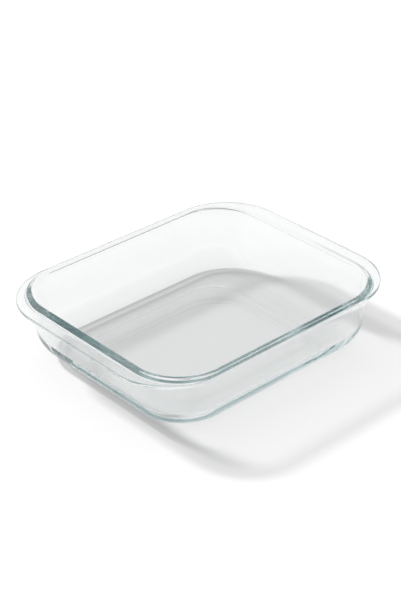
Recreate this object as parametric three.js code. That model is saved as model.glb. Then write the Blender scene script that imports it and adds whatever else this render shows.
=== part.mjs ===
// A clear pressed-glass baking dish with a handle rim at each end, made in one piece.
// Millimetres. +Z is up, +X runs from handle to handle, and the origin is the middle of the base.
import * as THREE from "three";

const { degToRad, lerp } = THREE.MathUtils;

// Basin
const HEIGHT = 60; // foot to the top of the rim
const MOUTH_LENGTH = 241; // inside the rim, handle to handle
const MOUTH_WIDTH = 206;
const MOUTH_CORNER = 42.5;
const CORNER_TAPER = 6; // the walls' corners are tighter at the base than at the rim by this much
const WALL = 4.2; // measured level
const FLOOR = 6;
const HEEL = 21; // inside radius between a wall and the floor
const END_LEAN_DEGREES = 8.5; // the walls under the handles lean out by this angle
const SIDE_LEAN_DEGREES = 5.5; // and the walls between them by this one

// Foot
const FOOT_WIDTH = 9; // the level ring that the dish stands on
const FOOT_RECESS = 0.6; // depth of the hollow inside that ring
const FOOT_SLOPE = 9; // width of the soft step from that ring up into the hollow

// Rim: a bead along the top of the walls, and a flange outside it that widens into the handles
const LIP = 2.5; // radius of the bead's inner edge
const BEAD_LAND = 1.2; // width of the bead's level top
const BEAD_SLOPE = 2.2; // width of the soft step from the bead's top down to the flange
const BEAD_RISE = 1.6; // height of that step
const HANDLE_OVERHANG = 14.4; // flange past the outside of the wall, at each handle end
const SIDE_OVERHANG = 3; // the same along each side
const FLANGE_ROUNDING = 8.3; // the flange's corners are rounder than the wall's by this much
const EDGE_OVER = 0.6; // radius of the round along the flange's upper edge
const EDGE_FACE = 1.6; // height of the upright face under that round
const EDGE_UNDER = 1; // radius of the round along the flange's lower edge
const FILLET_RISE = 9; // height of the hollow under the flange, where it leaves the wall
const FILLET_REACH = 5; // how far out from the wall that hollow runs, where the flange leaves room
const FLANGE_LEVEL = 0.2; // least width of the level strip between that hollow and the flange's edge

// Fineness of the faceted surfaces
const CORNER_STEPS = 10;
const HEEL_STEPS = 6;
const EDGE_STEPS = 4;

const END_LEAN = degToRad(END_LEAN_DEGREES);
const SIDE_LEAN = degToRad(SIDE_LEAN_DEGREES);
const QUARTER_TURN = Math.PI / 2;

// Rounded rectangles, as a full length and width with the radius of the corners

const grown = (shape, ends, sides = ends, rounder = ends) => ({
  length: shape.length + 2 * ends,
  width: shape.width + 2 * sides,
  corner: shape.corner + rounder,
});

const MOUTH = { length: MOUTH_LENGTH, width: MOUTH_WIDTH, corner: MOUTH_CORNER };
const FLANGE = grown(MOUTH, WALL + HANDLE_OVERHANG, WALL + SIDE_OVERHANG, WALL + FLANGE_ROUNDING);

// Values from one to another in equal steps, both ends included.
const sweep = (from, to, steps) => Array.from({ length: steps + 1 }, (_, i) => lerp(from, to, i / steps));

// The points of a level outline, anticlockwise from above.
function ring(shape, z) {
  const points = [];
  for (let quarter = 0; quarter < 4; quarter += 1) {
    const sideX = quarter === 0 || quarter === 3 ? 1 : -1;
    const sideY = quarter < 2 ? 1 : -1;
    const centreX = sideX * (shape.length / 2 - shape.corner);
    const centreY = sideY * (shape.width / 2 - shape.corner);
    for (const angle of sweep(quarter * QUARTER_TURN, (quarter + 1) * QUARTER_TURN, CORNER_STEPS)) {
      const x = centreX + shape.corner * Math.cos(angle);
      const y = centreY + shape.corner * Math.sin(angle);
      points.push(new THREE.Vector3(x, y, z));
    }
  }
  return points;
}

// A closed solid through a run of rings, with a level cap on the first and on the last.
function loft(rings) {
  const count = rings[0].length;
  const points = rings.flat();
  const lastRing = points.length - count;
  const firstCentre = points.length;
  const lastCentre = firstCentre + 1;
  points.push(new THREE.Vector3(0, 0, rings[0][0].z), new THREE.Vector3(0, 0, rings.at(-1)[0].z));
  const faces = [];
  for (let i = 0; i < count; i += 1) {
    const next = (i + 1) % count;
    faces.push(firstCentre, next, i);
    faces.push(lastCentre, lastRing + i, lastRing + next);
    for (let low = 0; low < lastRing; low += count) {
      const high = low + count;
      faces.push(low + i, low + next, high + next);
      faces.push(low + i, high + next, high + i);
    }
  }
  return new THREE.BufferGeometry().setFromPoints(points).setIndex(faces);
}

// The two faces of the walls: how far out from the mouth's edge each lies at the rim, and its heel.
const OUTSIDE = { out: WALL, heel: HEEL + WALL, floorZ: 0 };
const INSIDE = { out: 0, heel: HEEL, floorZ: FLOOR };

// How far out from the mouth's edge a face that leans by an angle lies at height z.
function reach(face, lean, z) {
  const centreZ = face.floorZ + face.heel;
  const below = centreZ - z;
  if (below <= face.heel * Math.sin(lean)) return face.out - (HEIGHT - z) * Math.tan(lean);
  const centre = face.out - (HEIGHT - centreZ) * Math.tan(lean) - face.heel / Math.cos(lean);
  return centre + Math.sqrt(Math.max(0, face.heel ** 2 - below ** 2));
}

// The outline of a face at height z.
function wallOutline(face, z) {
  const tighter = (CORNER_TAPER * (HEIGHT - z)) / HEIGHT;
  return grown(MOUTH, reach(face, END_LEAN, z), reach(face, SIDE_LEAN, z), face.out - tighter);
}

// The heel of a face, from the floor up to where the steeper walls begin.
function heelRings(face) {
  const steepest = Math.min(END_LEAN, SIDE_LEAN);
  return sweep(QUARTER_TURN, steepest, HEEL_STEPS).map((angle) => {
    const z = face.floorZ + face.heel * (1 - Math.sin(angle));
    return ring(wallOutline(face, z), z);
  });
}

// The hollow under the base and the soft step from it down to the foot's inner edge.
function footRings() {
  const inner = grown(wallOutline(OUTSIDE, OUTSIDE.floorZ), -FOOT_WIDTH);
  return sweep(1, 0, EDGE_STEPS).map((share) => {
    const rise = (FOOT_RECESS * (1 - Math.cos(Math.PI * share))) / 2;
    return ring(grown(inner, -FOOT_SLOPE * share), OUTSIDE.floorZ + rise);
  });
}

// How far out from the mouth's edge the bead's inner edge lies at height z, over a wall that leans.
function lipReach(lean, z) {
  const drop = HEIGHT - z;
  const roundDrop = LIP * (1 - Math.sin(lean));
  if (drop >= roundDrop) return -drop * Math.tan(lean);
  const centre = LIP * Math.cos(lean) - roundDrop * Math.tan(lean);
  return centre - Math.sqrt(Math.max(0, LIP ** 2 - (LIP - drop) ** 2));
}

const lipOutline = (z) => grown(MOUTH, lipReach(END_LEAN, z), lipReach(SIDE_LEAN, z));

// How far out from the wall the hollow under the flange runs, where the two sides leave this much room.
const filletReach = (spare) => Math.min(FILLET_REACH, spare / 2 - FLANGE_LEVEL);

// From the outside wall, through the hollow under the flange and round the flange's edge.
function flangeRings() {
  const faceHighZ = HEIGHT - BEAD_RISE - EDGE_OVER;
  const faceLowZ = faceHighZ - EDGE_FACE;
  const wallZ = faceLowZ - EDGE_UNDER - FILLET_RISE;
  const flat = grown(FLANGE, -EDGE_UNDER);
  const hollow = sweep(0, QUARTER_TURN, EDGE_STEPS).map((angle) => {
    const z = wallZ + FILLET_RISE * Math.sin(angle);
    const share = 1 - Math.cos(angle);
    const wall = wallOutline(OUTSIDE, z);
    const ends = share * filletReach(flat.length - wall.length);
    const sides = share * filletReach(flat.width - wall.width);
    return ring(grown(wall, ends, sides, Math.min(ends, sides)), z);
  });
  const under = sweep(-QUARTER_TURN, 0, EDGE_STEPS).map((angle) => {
    const shape = grown(FLANGE, -EDGE_UNDER * (1 - Math.cos(angle)));
    return ring(shape, faceLowZ + EDGE_UNDER * Math.sin(angle));
  });
  const over = sweep(0, QUARTER_TURN, EDGE_STEPS).map((angle) => {
    const shape = grown(FLANGE, -EDGE_OVER * (1 - Math.cos(angle)));
    return ring(shape, faceHighZ + EDGE_OVER * Math.sin(angle));
  });
  return [...hollow, ...under, ...over];
}

// From the flange's top up the soft step, across the bead's level top and down over the lip.
function beadRings() {
  const land = grown(lipOutline(HEIGHT), BEAD_LAND);
  const step = sweep(1, 0, EDGE_STEPS).map((share) => {
    const fall = (BEAD_RISE * (1 - Math.cos(Math.PI * share))) / 2;
    return ring(grown(land, BEAD_SLOPE * share), HEIGHT - fall);
  });
  const lip = sweep(QUARTER_TURN, Math.min(END_LEAN, SIDE_LEAN), EDGE_STEPS).map((angle) => {
    const z = HEIGHT - LIP * (1 - Math.sin(angle));
    return ring(lipOutline(z), z);
  });
  return [...step, ...lip];
}

function dishGeometry() {
  const inside = heelRings(INSIDE).reverse();
  return loft([...footRings(), ...heelRings(OUTSIDE), ...flangeRings(), ...beadRings(), ...inside]);
}

const glass = new THREE.MeshStandardMaterial({
  color: 0xe6f2ef,
  roughness: 0.05,
  metalness: 0,
  transparent: true,
  opacity: 0.35,
});

const dish = new THREE.Mesh(dishGeometry(), glass);
dish.name = "dish";

const bakingDish = new THREE.Group();
bakingDish.add(dish);

export default bakingDish;
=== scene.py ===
# A clear pressed-glass baking dish, empty, on a pale studio floor.
from dataclasses import dataclass
from math import cos, pi, radians, sin, sqrt, tan

import bpy
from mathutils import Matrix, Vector, noise


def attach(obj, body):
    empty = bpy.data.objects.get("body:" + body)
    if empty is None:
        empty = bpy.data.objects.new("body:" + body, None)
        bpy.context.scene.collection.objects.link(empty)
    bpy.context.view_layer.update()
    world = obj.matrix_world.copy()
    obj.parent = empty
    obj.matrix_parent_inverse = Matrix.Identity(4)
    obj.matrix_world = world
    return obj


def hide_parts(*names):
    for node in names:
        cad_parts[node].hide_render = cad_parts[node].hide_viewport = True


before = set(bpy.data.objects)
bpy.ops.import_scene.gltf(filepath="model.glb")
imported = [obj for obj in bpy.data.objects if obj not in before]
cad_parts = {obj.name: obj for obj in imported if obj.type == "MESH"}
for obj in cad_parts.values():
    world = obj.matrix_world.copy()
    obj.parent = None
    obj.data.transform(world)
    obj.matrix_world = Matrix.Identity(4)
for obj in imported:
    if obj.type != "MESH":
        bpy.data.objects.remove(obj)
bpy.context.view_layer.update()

MM = 0.001

# Sizes of the dish in millimetres, the same as in the solid
HEIGHT = 60  # foot to the top of the rim
MOUTH_LENGTH = 241  # inside the rim, handle to handle
MOUTH_WIDTH = 206
MOUTH_CORNER = 42.5
CORNER_TAPER = 6  # the walls' corners are tighter at the base than at the rim by this much
WALL = 4.2  # measured level
FLOOR = 6  # thickness of the basin's floor
HEEL = 21  # inside radius between a wall and the floor
END_LEAN = radians(8.5)  # the walls under the handles lean out by this angle
SIDE_LEAN = radians(5.5)  # and the walls between them by this one
FOOT_WIDTH = 9  # the level ring that the dish stands on
FOOT_RECESS = 0.6  # depth of the hollow inside that ring
FOOT_SLOPE = 9  # width of the soft step from that ring up into the hollow
LIP = 2.5  # radius of the bead's inner edge
BEAD_LAND = 1.2  # width of the bead's level top
BEAD_SLOPE = 2.2  # width of the soft step from the bead's top down to the flange
BEAD_RISE = 1.6  # height of that step
HANDLE_OVERHANG = 14.4  # flange past the outside of the wall, at each handle end
SIDE_OVERHANG = 3  # the same along each side
FLANGE_ROUNDING = 8.3  # the flange's corners are rounder than the wall's by this much
EDGE_OVER = 0.6  # radius of the round along the flange's upper edge
EDGE_FACE = 1.6  # height of the upright face under that round
EDGE_UNDER = 1  # radius of the round along the flange's lower edge
FILLET_RISE = 9  # height of the hollow under the flange, where it leaves the wall
FILLET_REACH = 5  # how far out from the wall that hollow runs, where the flange leaves room
FLANGE_LEVEL = 0.2  # least width of the level strip between that hollow and the flange's edge

# Marks that pressing leaves on the glass, in millimetres
SEAM_HEIGHT = 0.1  # the line round the flange's edge where two parts of the mould met
SEAM_WIDTH = 0.5
RIPPLE_DEPTH = 0.06  # the slow waves in the walls and the basin's floor
RIPPLE_LENGTH = 34
BASIN_RIPPLE = 0.6  # share of their depth that the waves gain on the basin's own surface

# Fineness of the mesh
CORNER_STEPS = 28
SIDE_STEPS = 18
HEEL_STEPS = 22
WALL_STEPS = 8
EDGE_STEPS = 10
FACE_STEPS = 12
CAP_STEPS = 14

# Glass
GLASS_IOR = 1.5
GLASS_CLEAR = (0.95, 0.957, 0.956, 1)  # what the two faces of a wall let through
GLASS_TINT = (0.5, 0.68, 0.69, 1)  # blue-green, seen only through much glass
GLASS_DENSITY = 4  # of that tint, per metre
HAZE_SCALE = 22  # patches of duller polish, per metre
HAZE_DETAIL = 5
HAZE_RANGE = (0.45, 0.8)  # the part of the patches' noise that dulls the polish
HAZE_ROUGHNESS = (0, 0.05)
SKIN_SCALE = 60  # faint unevenness of the surface, per metre
SKIN_DETAIL = 2
SKIN_STRENGTH = 0.1
SKIN_DEPTH = 0.3  # millimetres

# What one surface lets through of the lamp's light, by how slanted it is to the light, and at the rim
SLANT_RANGE = (0.35, 1)
SLANT_LIGHT = (0.91, 0.35)
RIM_LIGHT = 0.85

# Light runs along inside the glass, so it is followed through more bounces than usual
GLASS_BOUNCES = 96

# Studio, in metres
GROUND_SIZE = 24
GROUND_GAP = 0.0003  # below the foot, so that the two surfaces don't share a plane
GROUND_COLOUR = (0.86, 0.86, 0.86, 1)
GROUND_LIFT = 0.13  # brings the open ground up to white
KEY_AZIMUTH = radians(105.5)
KEY_ELEVATION = radians(38)
KEY_SPREAD = radians(6.7)  # how large the lamp looks from the dish, which sets how soft the shadow is
KEY_STRENGTH = 3.1

# The sky's brightness by the upward part of a direction, on the dish's far side and on its near side
FAR_SKY = ((0.08, 1), (0.6, 0.9), (0.95, 0.2))
NEAR_SKY = ((0.08, 1), (0.35, 0.3), (0.95, 0.2))
FAR_SIDE = (-0.1, 0.995, 0)  # the level direction of the far side
SKY_BLEND = 0.4  # how far the two sides run into each other

# Camera, at the photograph's viewing angle
IMAGE_HEIGHT = 601  # pixels, the longer side, which the sensor's width spans
FOCAL_PIXELS = 1549
SENSOR = 36  # millimetres
CAMERA_AZIMUTH = radians(-132.58)
CAMERA_ELEVATION = radians(31.13)
CAMERA_DISTANCE = 1.3446
CAMERA_TARGET = Vector((0.01408, 0.01494, 0.0307))

QUARTER = pi / 2
STEEPEST = min(END_LEAN, SIDE_LEAN)


def mix(a, b, share):
    return a + (b - a) * share


def held(value):
    """A value kept between 0 and 1."""
    return min(1, max(0, value))


def sweep(start, end, steps):
    """Values from one to another in equal steps, both ends included."""
    return [mix(start, end, i / steps) for i in range(steps + 1)]


def direction(azimuth, elevation):
    """A vector of length 1 with this azimuth, from +X towards +Y, and this elevation."""
    level = cos(elevation)
    return Vector((cos(azimuth) * level, sin(azimuth) * level, sin(elevation)))


# Shape of the dish


@dataclass
class Outline:
    """A level rounded rectangle about the middle of the dish."""

    length: float
    width: float
    corner: float

    def grown(self, ends, sides=None, rounder=None):
        sides = ends if sides is None else sides
        rounder = ends if rounder is None else rounder
        return Outline(self.length + 2 * ends, self.width + 2 * sides, self.corner + rounder)

    def scaled(self, share):
        return Outline(self.length * share, self.width * share, self.corner * share)

    def ring(self, z):
        """Its points at height z, anticlockwise from above, with points along the straight sides too."""
        points = []
        for quarter in range(4):
            side_x = 1 if quarter in (0, 3) else -1
            side_y = 1 if quarter < 2 else -1
            middle_x = side_x * (self.length / 2 - self.corner)
            middle_y = side_y * (self.width / 2 - self.corner)
            for angle in sweep(quarter * QUARTER, (quarter + 1) * QUARTER, CORNER_STEPS):
                x = middle_x + self.corner * cos(angle)
                y = middle_y + self.corner * sin(angle)
                points.append(Vector((x, y, z)))
        return with_side_points(points)


def with_side_points(points):
    """The corners' points, with each straight side between two corners cut into equal steps."""
    filled = []
    for index, point in enumerate(points):
        filled.append(point)
        if index % (CORNER_STEPS + 1) == CORNER_STEPS:
            following = points[(index + 1) % len(points)]
            filled += [point.lerp(following, share) for share in sweep(0, 1, SIDE_STEPS)[1:-1]]
    return filled


MOUTH = Outline(MOUTH_LENGTH, MOUTH_WIDTH, MOUTH_CORNER)
FLANGE = MOUTH.grown(WALL + HANDLE_OVERHANG, WALL + SIDE_OVERHANG, WALL + FLANGE_ROUNDING)
FLANGE_LOW = HEIGHT - BEAD_RISE - EDGE_OVER - EDGE_FACE - EDGE_UNDER
FILLET_LOW = FLANGE_LOW - FILLET_RISE


@dataclass
class Face:
    """One face of the walls: how far out from the mouth's edge it lies at the rim, and its heel."""

    out: float
    heel: float
    floor_z: float

    def reach(self, lean, z):
        """How far out from the mouth's edge it lies at height z, where it leans by an angle."""
        centre_z = self.floor_z + self.heel
        below = centre_z - z
        if below <= self.heel * sin(lean):
            return self.out - (HEIGHT - z) * tan(lean)
        centre = self.out - (HEIGHT - centre_z) * tan(lean) - self.heel / cos(lean)
        return centre + sqrt(max(0, self.heel**2 - below**2))

    def outline(self, z):
        tighter = CORNER_TAPER * (HEIGHT - z) / HEIGHT
        return MOUTH.grown(self.reach(END_LEAN, z), self.reach(SIDE_LEAN, z), self.out - tighter)

    def heel_height(self, angle):
        """The height on the heel where its surface stands at an angle from upright."""
        return self.floor_z + self.heel * (1 - sin(angle))

    def heel_rings(self):
        """From the floor up to where the steeper walls begin."""
        heights = [self.heel_height(angle) for angle in sweep(QUARTER, STEEPEST, HEEL_STEPS)]
        return [self.outline(z).ring(z) for z in heights]

    def wall_rings(self, top):
        """From the heel up to a height, with both ends left out."""
        heights = sweep(self.heel_height(STEEPEST), top, WALL_STEPS)[1:-1]
        return [self.outline(z).ring(z) for z in heights]


OUTSIDE = Face(WALL, HEEL + WALL, 0)
INSIDE = Face(0, HEEL, FLOOR)


def cap_rings(outline, z):
    """A level cap, from near its middle out to its edge."""
    return [outline.scaled(share).ring(z) for share in sweep(1 / CAP_STEPS, 1, CAP_STEPS - 1)]


def soft_step(share):
    """The height of a soft step of height 1, by the share of its width that is behind."""
    return (1 - cos(pi * share)) / 2


def foot_rings():
    """The hollow under the base, and the soft step from it down to the foot's inner edge."""
    inner = OUTSIDE.outline(0).grown(-FOOT_WIDTH)
    rings = cap_rings(inner.grown(-FOOT_SLOPE), FOOT_RECESS)
    for share in sweep(1, 0, EDGE_STEPS)[1:]:
        rings.append(inner.grown(-FOOT_SLOPE * share).ring(FOOT_RECESS * soft_step(share)))
    return rings


def fillet_reach(spare):
    """How far out the hollow under the flange runs, where its two sides together leave this much room."""
    return min(FILLET_REACH, spare / 2 - FLANGE_LEVEL)


def fillet_rings():
    """From the outside wall through the hollow under the flange to the level part of its underside."""
    flat = FLANGE.grown(-EDGE_UNDER)
    rings = []
    for angle in sweep(0, QUARTER, EDGE_STEPS):
        z = FILLET_LOW + FILLET_RISE * sin(angle)
        share = 1 - cos(angle)
        wall = OUTSIDE.outline(z)
        ends = share * fillet_reach(flat.length - wall.length)
        sides = share * fillet_reach(flat.width - wall.width)
        rings.append(wall.grown(ends, sides, min(ends, sides)).ring(z))
    return rings


def edge_rings():
    """Round the flange's edge, from its underside to its top, with the seam along its middle."""
    face_low = FLANGE_LOW + EDGE_UNDER
    face_high = face_low + EDGE_FACE
    seam_z = (face_low + face_high) / 2
    profile = []
    for angle in sweep(-QUARTER, 0, EDGE_STEPS):
        profile.append((EDGE_UNDER * (1 - cos(angle)), face_low + EDGE_UNDER * sin(angle)))
    for z in sweep(face_low, face_high, FACE_STEPS)[1:-1]:
        from_middle = 2 * (z - seam_z) / SEAM_WIDTH
        profile.append((-SEAM_HEIGHT * max(0, 1 - from_middle**2), z))
    for angle in sweep(0, QUARTER, EDGE_STEPS):
        profile.append((EDGE_OVER * (1 - cos(angle)), face_high + EDGE_OVER * sin(angle)))
    return [FLANGE.grown(-SEAM_HEIGHT - inset).ring(z) for inset, z in profile]


def lip_height(angle):
    """The height on the lip where its surface stands at an angle from upright."""
    return HEIGHT - LIP * (1 - sin(angle))


def lip_reach(lean, z):
    """How far out from the mouth's edge the bead's inner edge lies, over a wall that leans."""
    drop = HEIGHT - z
    round_drop = LIP * (1 - sin(lean))
    if drop >= round_drop:
        return -drop * tan(lean)
    centre = LIP * cos(lean) - round_drop * tan(lean)
    return centre - sqrt(max(0, LIP**2 - (LIP - drop) ** 2))


def lip_outline(z):
    return MOUTH.grown(lip_reach(END_LEAN, z), lip_reach(SIDE_LEAN, z))


def bead_rings():
    """From the flange's top up the soft step, across the bead's level top and down over the lip."""
    land = lip_outline(HEIGHT).grown(BEAD_LAND)
    rings = []
    for share in sweep(1, 0, EDGE_STEPS):
        rings.append(land.grown(BEAD_SLOPE * share).ring(HEIGHT - BEAD_RISE * soft_step(share)))
    for angle in sweep(QUARTER, STEEPEST, EDGE_STEPS):
        z = lip_height(angle)
        rings.append(lip_outline(z).ring(z))
    return rings


def dish_rings():
    """The whole skin as a run of rings, from the middle of the underside to the middle of the floor."""
    outer = foot_rings() + OUTSIDE.heel_rings() + OUTSIDE.wall_rings(FILLET_LOW)
    rim = fillet_rings() + edge_rings() + bead_rings()
    inner = INSIDE.wall_rings(lip_height(STEEPEST))[::-1] + INSIDE.heel_rings()[::-1]
    floor = cap_rings(INSIDE.outline(FLOOR), FLOOR)[::-1][1:]
    return outer + rim + inner + floor


def skin_mesh(rings):
    """A closed mesh through the rings, with a fan on the first and on the last."""
    count = len(rings[0])
    points = [point * MM for ring in rings for point in ring]
    last = len(points) - count
    first_middle = len(points)
    last_middle = first_middle + 1
    points += [Vector((0, 0, points[0].z)), Vector((0, 0, points[last].z))]
    faces = []
    for i in range(count):
        following = (i + 1) % count
        faces.append((first_middle, following, i))
        faces.append((last_middle, last + i, last + following))
        for low in range(0, last, count):
            high = low + count
            faces.append((low + i, low + following, high + following, high + i))
    mesh = bpy.data.meshes.new("glass_dish")
    mesh.from_pydata(points, [], faces)
    mesh.validate()
    mesh.shade_smooth()
    return mesh


def press_ripples(mesh):
    """Slow waves pressed into the walls and the basin's floor. They only go into the glass."""
    normals = [vertex.normal.copy() for vertex in mesh.vertices]
    for vertex, normal in zip(mesh.vertices, normals):
        height = vertex.co.z / MM
        share = held((height - FOOT_RECESS) / HEEL) * held((FILLET_LOW - height) / HEEL)
        if normal.z > 0 and height < FILLET_LOW:
            share = held(share + BASIN_RIPPLE)
        wave = (1 + noise.noise(vertex.co / (RIPPLE_LENGTH * MM))) / 2
        vertex.co -= normal * RIPPLE_DEPTH * MM * wave * share


def make_dish():
    mesh = skin_mesh(dish_rings())
    press_ripples(mesh)
    mesh.materials.append(glass_material())
    dish = bpy.data.objects.new("glass_dish", mesh)
    bpy.context.scene.collection.objects.link(dish)
    shading = dish.modifiers.new("even_shading", "WEIGHTED_NORMAL")
    shading.mode = "FACE_AREA"
    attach(dish, "root")
    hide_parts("dish")


# Materials


def new_material(name):
    material = bpy.data.materials.new(name)
    material.use_nodes = True
    material.node_tree.nodes.clear()
    return material, material.node_tree.nodes, material.node_tree.links


def ranged(nodes, links, value, before, after):
    """A value taken from one range to another, and kept inside it."""
    node = nodes.new("ShaderNodeMapRange")
    for socket, level in zip(("From Min", "From Max", "To Min", "To Max"), before + after):
        node.inputs[socket].default_value = level
    links.new(value, node.inputs["Value"])
    return node.outputs["Result"]


def combined(nodes, links, operation, first, second):
    """What a Math node makes of two values."""
    node = nodes.new("ShaderNodeMath")
    node.operation = operation
    links.new(first, node.inputs[0])
    links.new(second, node.inputs[1])
    return node.outputs["Value"]


def patches(nodes, links, place, scale, detail):
    """Soft random patches, as values from 0 to 1."""
    node = nodes.new("ShaderNodeTexNoise")
    node.inputs["Scale"].default_value = scale
    node.inputs["Detail"].default_value = detail
    links.new(place, node.inputs["Vector"])
    return node.outputs["Fac"]


def clear_glass(nodes, links, place):
    """Glass with a slight haze in its polish and a faintly uneven surface."""
    haze = patches(nodes, links, place, HAZE_SCALE, HAZE_DETAIL)
    skin = nodes.new("ShaderNodeBump")
    skin.inputs["Strength"].default_value = SKIN_STRENGTH
    skin.inputs["Distance"].default_value = SKIN_DEPTH * MM
    links.new(patches(nodes, links, place, SKIN_SCALE, SKIN_DETAIL), skin.inputs["Height"])
    glass = nodes.new("ShaderNodeBsdfPrincipled")
    glass.inputs["Base Color"].default_value = GLASS_CLEAR
    glass.inputs["IOR"].default_value = GLASS_IOR
    glass.inputs["Transmission Weight"].default_value = 1
    links.new(ranged(nodes, links, haze, HAZE_RANGE, HAZE_ROUGHNESS), glass.inputs["Roughness"])
    links.new(skin.outputs["Normal"], glass.inputs["Normal"])
    return glass.outputs["BSDF"]


def lamp_film(nodes, links, place):
    """A film that lets through the share of the lamp's light that reaches the ground."""
    slant = nodes.new("ShaderNodeLayerWeight").outputs["Facing"]
    parts = nodes.new("ShaderNodeSeparateXYZ")
    links.new(place, parts.inputs["Vector"])
    rim = (FILLET_LOW * MM, FLANGE_LOW * MM)
    by_slant = ranged(nodes, links, slant, SLANT_RANGE, SLANT_LIGHT)
    by_height = ranged(nodes, links, parts.outputs["Z"], rim, (1, RIM_LIGHT))
    film = nodes.new("ShaderNodeBsdfTransparent")
    links.new(combined(nodes, links, "MULTIPLY", by_slant, by_height), film.inputs["Color"])
    return film.outputs["BSDF"]


def glass_material():
    """Glass to the eye, and a film to the light that falls through it onto the ground."""
    material, nodes, links = new_material("clear_glass")
    place = nodes.new("ShaderNodeTexCoord").outputs["Object"]
    shader = clear_glass(nodes, links, place)
    film = lamp_film(nodes, links, place)
    path = nodes.new("ShaderNodeLightPath")
    for ray in ("Is Diffuse Ray", "Is Shadow Ray"):
        choice = nodes.new("ShaderNodeMixShader")
        links.new(path.outputs[ray], choice.inputs["Fac"])
        links.new(shader, choice.inputs[1])
        links.new(film, choice.inputs[2])
        shader = choice.outputs["Shader"]
    tint = nodes.new("ShaderNodeVolumeAbsorption")
    tint.inputs["Color"].default_value = GLASS_TINT
    tint.inputs["Density"].default_value = GLASS_DENSITY
    output = nodes.new("ShaderNodeOutputMaterial")
    links.new(shader, output.inputs["Surface"])
    links.new(tint.outputs["Volume"], output.inputs["Volume"])
    return material


def ground_material():
    """Pale paint, made a little brighter where it is seen directly, mirrored or through the glass."""
    material, nodes, links = new_material("studio_floor")
    paint = nodes.new("ShaderNodeBsdfDiffuse")
    paint.inputs["Color"].default_value = GROUND_COLOUR
    path = nodes.new("ShaderNodeLightPath")
    seen = path.outputs["Is Camera Ray"]
    for ray in ("Is Glossy Ray", "Is Transmission Ray"):
        seen = combined(nodes, links, "MAXIMUM", seen, path.outputs[ray])
    glow = nodes.new("ShaderNodeEmission")
    links.new(ranged(nodes, links, seen, (0, 1), (0, GROUND_LIFT)), glow.inputs["Strength"])
    both = nodes.new("ShaderNodeAddShader")
    links.new(paint.outputs["BSDF"], both.inputs[0])
    links.new(glow.outputs["Emission"], both.inputs[1])
    output = nodes.new("ShaderNodeOutputMaterial")
    links.new(both.outputs["Shader"], output.inputs["Surface"])
    return material


# Studio


def make_ground():
    half = GROUND_SIZE / 2
    corners = [(-half, -half, 0), (half, -half, 0), (half, half, 0), (-half, half, 0)]
    mesh = bpy.data.meshes.new("studio_floor")
    mesh.from_pydata(corners, [], [(0, 1, 2, 3)])
    mesh.materials.append(ground_material())
    floor = bpy.data.objects.new("studio_floor", mesh)
    floor.location.z = -GROUND_GAP
    bpy.context.scene.collection.objects.link(floor)


def put(thing, eye, target):
    """Puts a lamp or a camera into the scene at one point, looking at another."""
    thing.location = eye
    thing.rotation_euler = (target - eye).to_track_quat("-Z", "Y").to_euler()
    bpy.context.scene.collection.objects.link(thing)


def make_key():
    """A distant soft lamp, so that the whole ground is lit alike. The glass doesn't mirror it."""
    lamp = bpy.data.lights.new("key_lamp", "SUN")
    lamp.angle = KEY_SPREAD
    lamp.energy = KEY_STRENGTH
    key = bpy.data.objects.new("key_lamp", lamp)
    key.visible_glossy = False
    key.visible_transmission = False
    put(key, direction(KEY_AZIMUTH, KEY_ELEVATION), Vector())


def sky_side(nodes, links, upward, steps):
    """A background whose brightness goes by the upward part of a direction, in three steps."""
    ramp = nodes.new("ShaderNodeValToRGB")
    elements = ramp.color_ramp.elements
    elements.new(steps[1][0])  # a new ramp has only its two ends
    for element, (position, level) in zip(elements, steps):
        element.position = position
        element.color = (level, level, level, 1)
    links.new(upward, ramp.inputs["Fac"])
    side = nodes.new("ShaderNodeBackground")
    links.new(ramp.outputs["Color"], side.inputs["Color"])
    return side.outputs["Background"]


def make_sky():
    """White round the horizon, with a pale wall on the far side and a darker room on the near side."""
    world = bpy.data.worlds.new("studio")
    world.use_nodes = True
    bpy.context.scene.world = world
    nodes = world.node_tree.nodes
    links = world.node_tree.links
    nodes.clear()
    way = nodes.new("ShaderNodeTexCoord").outputs["Generated"]
    parts = nodes.new("ShaderNodeSeparateXYZ")
    links.new(way, parts.inputs["Vector"])
    across = nodes.new("ShaderNodeVectorMath")
    across.operation = "DOT_PRODUCT"
    across.inputs[1].default_value = FAR_SIDE
    links.new(way, across.inputs[0])
    far_share = ranged(nodes, links, across.outputs["Value"], (-SKY_BLEND, SKY_BLEND), (0, 1))
    both = nodes.new("ShaderNodeMixShader")
    links.new(far_share, both.inputs["Fac"])
    links.new(sky_side(nodes, links, parts.outputs["Z"], NEAR_SKY), both.inputs[1])
    links.new(sky_side(nodes, links, parts.outputs["Z"], FAR_SKY), both.inputs[2])
    output = nodes.new("ShaderNodeOutputWorld")
    links.new(both.outputs["Shader"], output.inputs["Surface"])


def make_camera():
    lens = bpy.data.cameras.new("camera")
    lens.sensor_width = SENSOR
    lens.lens = FOCAL_PIXELS * SENSOR / IMAGE_HEIGHT
    camera = bpy.data.objects.new("camera", lens)
    back = direction(CAMERA_AZIMUTH, CAMERA_ELEVATION)
    put(camera, CAMERA_TARGET + CAMERA_DISTANCE * back, CAMERA_TARGET)
    bpy.context.scene.camera = camera


def allow_bounces():
    for limit in ("max_bounces", "glossy_bounces", "transmission_bounces"):
        setattr(bpy.context.scene.cycles, limit, GLASS_BOUNCES)


bpy.context.scene.view_settings.view_transform = "Standard"
make_camera()
make_dish()
make_ground()
make_sky()
make_key()
allow_bounces()
